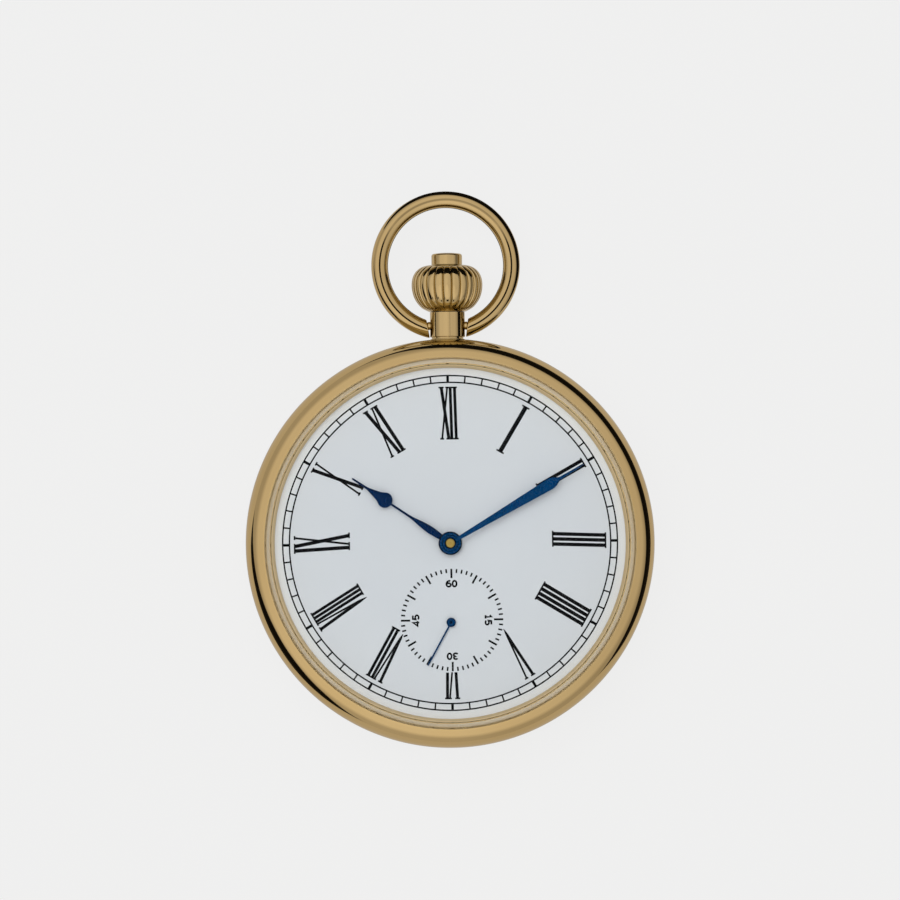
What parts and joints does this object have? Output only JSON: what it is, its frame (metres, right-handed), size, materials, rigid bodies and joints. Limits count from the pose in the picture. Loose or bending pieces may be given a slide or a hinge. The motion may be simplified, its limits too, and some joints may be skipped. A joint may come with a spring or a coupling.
{
  "type": "pocket watch",
  "caption": "Open-face pocket watch: gold-coloured round case with bow and fluted crown, roman dial with small seconds, blued hands, wind-and-set lever movement inside.",
  "frame": {"origin": "centre of the flat resting face of the case back", "axes": "+Z out of the dial, +Y towards the pendant and 12 o'clock, +X towards 3 o'clock"},
  "size_m": [0.05, 0.0681, 0.0123],
  "materials": {
    "case_gold": "polished gold plating",
    "crystal": "polished clear mineral glass",
    "dial_enamel": "silvery white dial lacquer",
    "blued_steel": "heat-blued steel",
    "brass": "gilt brass",
    "nickel_plate": "nickel-plated brass with stripes",
    "steel": "polished steel",
    "ruby": "polished synthetic ruby"
  },
  "bodies": {
    "root": {"case_back": "case_gold", "case_band": "case_gold", "bezel": "case_gold", "crystal": "crystal", "pendant_tube": "case_gold", "dial": "dial_enamel", "mainplate": "brass", "movement_ring": "brass", "barrel_bridge": "nickel_plate", "train_bridge": "nickel_plate", "balance_cock": "nickel_plate", "pallet_cock": "nickel_plate", "barrel_bridge_screw_1": "steel", "barrel_bridge_screw_2": "steel", "train_bridge_screw_1": "steel", "train_bridge_screw_2": "steel", "balance_cock_screw": "steel", "case_screw_1": "steel", "case_screw_2": "steel", "crown_wheel_core": "steel", "click_spring": "steel", "hairspring": "blued_steel", "balance_shock_setting": "brass", "jewel_third_lower": "ruby", "jewel_fourth_upper": "ruby", "jewel_escape_lower": "ruby", "jewel_pallet_lower": "ruby", "jewel_balance_lower": "ruby", "yoke_spring": "steel", "setting_lever_jumper": "steel"},
    "bow": {"bow": "case_gold"},
    "centre_arbor": {"centre_wheel": "brass", "cannon_pinion": "brass", "minute_hand": "blued_steel"},
    "third_arbor": {"third_wheel": "brass"},
    "fourth_arbor": {"fourth_wheel": "brass", "seconds_hand": "blued_steel"},
    "escape_arbor": {"escape_wheel": "steel"},
    "pallets": {"pallet_fork": "steel"},
    "balance": {"balance_wheel": "brass", "balance_staff": "steel"},
    "barrel": {"barrel_drum": "brass", "barrel_cover": "brass", "mainspring": "steel"},
    "winding_arbor": {"barrel_arbor": "steel", "ratchet_wheel": "steel", "ratchet_screw": "steel"},
    "crown_wheel": {"crown_wheel": "steel"},
    "minute_wheel": {"minute_wheel": "brass"},
    "hour": {"hour_wheel": "brass", "hour_hand": "blued_steel"},
    "setting_wheel": {"setting_wheel": "steel"},
    "winding_pinion": {"winding_pinion": "steel"},
    "stem": {"winding_stem": "steel", "crown": "case_gold"},
    "clutch": {"sliding_clutch": "steel"},
    "setting_lever": {"setting_lever": "steel"},
    "yoke": {"yoke": "steel"},
    "click": {"click": "steel"},
    "regulator": {"regulator": "steel"}
  },
  "joints": [
    {"name": "minute_hand_turn", "type": "hinge", "parent": "root", "child": "centre_arbor", "pos_m": [0, 0, 0.0056], "axis": [0, 0, -1], "continuous": true},
    {"name": "third_wheel_turn", "type": "hinge", "parent": "root", "child": "third_arbor", "pos_m": [0.00341, -0.0053, 0.0056], "axis": [0, 0, -1], "continuous": true},
    {"name": "seconds_hand_turn", "type": "hinge", "parent": "root", "child": "fourth_arbor", "pos_m": [0, -0.00965, 0.0056], "axis": [0, 0, -1], "continuous": true},
    {"name": "escape_wheel_turn", "type": "hinge", "parent": "root", "child": "escape_arbor", "pos_m": [-0.00448, -0.00685, 0.0056], "axis": [0, 0, -1], "continuous": true},
    {"name": "barrel_turn", "type": "hinge", "parent": "root", "child": "barrel", "pos_m": [-0.00755, 0.0049, 0.0056], "axis": [0, 0, -1], "continuous": true},
    {"name": "minute_wheel_turn", "type": "hinge", "parent": "root", "child": "minute_wheel", "pos_m": [0.00193, 0.00413, 0.0056], "axis": [0, 0, -1], "continuous": true},
    {"name": "hour_hand_turn", "type": "hinge", "parent": "root", "child": "hour", "pos_m": [0, 0, 0.0056], "axis": [0, 0, -1], "continuous": true},
    {"name": "setting_wheel_turn", "type": "hinge", "parent": "root", "child": "setting_wheel", "pos_m": [0, 0.00868, 0.0056], "axis": [0, 0, -1], "continuous": true},
    {"name": "pallet_rock", "type": "hinge", "parent": "root", "child": "pallets", "pos_m": [-0.0073, -0.00545, 0.0056], "axis": [0, 0, -1], "range_deg": [-5, 5]},
    {"name": "balance_swing", "type": "hinge", "parent": "root", "child": "balance", "pos_m": [-0.00912, -0.00912, 0.0056], "axis": [0, 0, -1], "range_deg": [-270, 270], "stiffness_Nm_per_rad": 0.00000024},
    {"name": "crown_turn", "type": "hinge", "parent": "root", "child": "winding_pinion", "pos_m": [0, 0.014, 0.0056], "axis": [0, -1, 0], "continuous": true},
    {"name": "crown_wheel_turn", "type": "hinge", "parent": "root", "child": "crown_wheel", "pos_m": [0, 0.0105, 0.0056], "axis": [0, 0, -1], "continuous": true},
    {"name": "ratchet_turn", "type": "hinge", "parent": "root", "child": "winding_arbor", "pos_m": [-0.00755, 0.0049, 0.0056], "axis": [0, 0, -1], "continuous": true},
    {"name": "crown_pull", "type": "slide", "parent": "winding_pinion", "child": "stem", "axis": [0, 1, 0], "range_m": [0, 0.001]},
    {"name": "clutch_slide", "type": "slide", "parent": "winding_pinion", "child": "clutch", "axis": [0, -1, 0], "range_m": [0, 0.0005]},
    {"name": "setting_lever_turn", "type": "hinge", "parent": "root", "child": "setting_lever", "pos_m": [0.0032, 0.0168, 0.0056], "axis": [0, 0, -1], "range_deg": [0, 22.18]},
    {"name": "yoke_turn", "type": "hinge", "parent": "root", "child": "yoke", "pos_m": [-0.0044, 0.0123, 0.0056], "axis": [0, 0, -1], "range_deg": [0, 9.18]},
    {"name": "click_lift", "type": "hinge", "parent": "root", "child": "click", "pos_m": [-0.01422, 0.00923, 0.0056], "axis": [0, 0, -1], "range_deg": [0, 12], "stiffness_Nm_per_rad": 0.0000001},
    {"name": "regulator_turn", "type": "hinge", "parent": "root", "child": "regulator", "pos_m": [-0.00912, -0.00912, 0.0056], "axis": [0, 0, -1], "range_deg": [-20, 20]},
    {"name": "bow_swing", "type": "hinge", "parent": "root", "child": "bow", "pos_m": [0, 0.02668, 0.0056], "axis": [1, 0, 0], "range_deg": [-110, 110]}
  ],
  "couplings": [
    {"joint": "third_wheel_turn", "follows": "minute_hand_turn", "ratio": -8},
    {"joint": "seconds_hand_turn", "follows": "minute_hand_turn", "ratio": 60},
    {"joint": "escape_wheel_turn", "follows": "minute_hand_turn", "ratio": -600},
    {"joint": "barrel_turn", "follows": "minute_hand_turn", "ratio": -0.15385},
    {"joint": "minute_wheel_turn", "follows": "minute_hand_turn", "ratio": -0.33333},
    {"joint": "hour_hand_turn", "follows": "minute_hand_turn", "ratio": 0.083333},
    {"joint": "setting_wheel_turn", "follows": "minute_hand_turn", "ratio": 0.75},
    {"joint": "crown_wheel_turn", "follows": "crown_turn", "ratio": 0.60714},
    {"joint": "ratchet_turn", "follows": "crown_turn", "ratio": -0.31481},
    {"joint": "clutch_slide", "follows": "crown_pull", "ratio": 0.5},
    {"joint": "setting_lever_turn", "follows": "crown_pull", "rad_per_m": 387},
    {"joint": "yoke_turn", "follows": "crown_pull", "rad_per_m": 160}
  ]
}
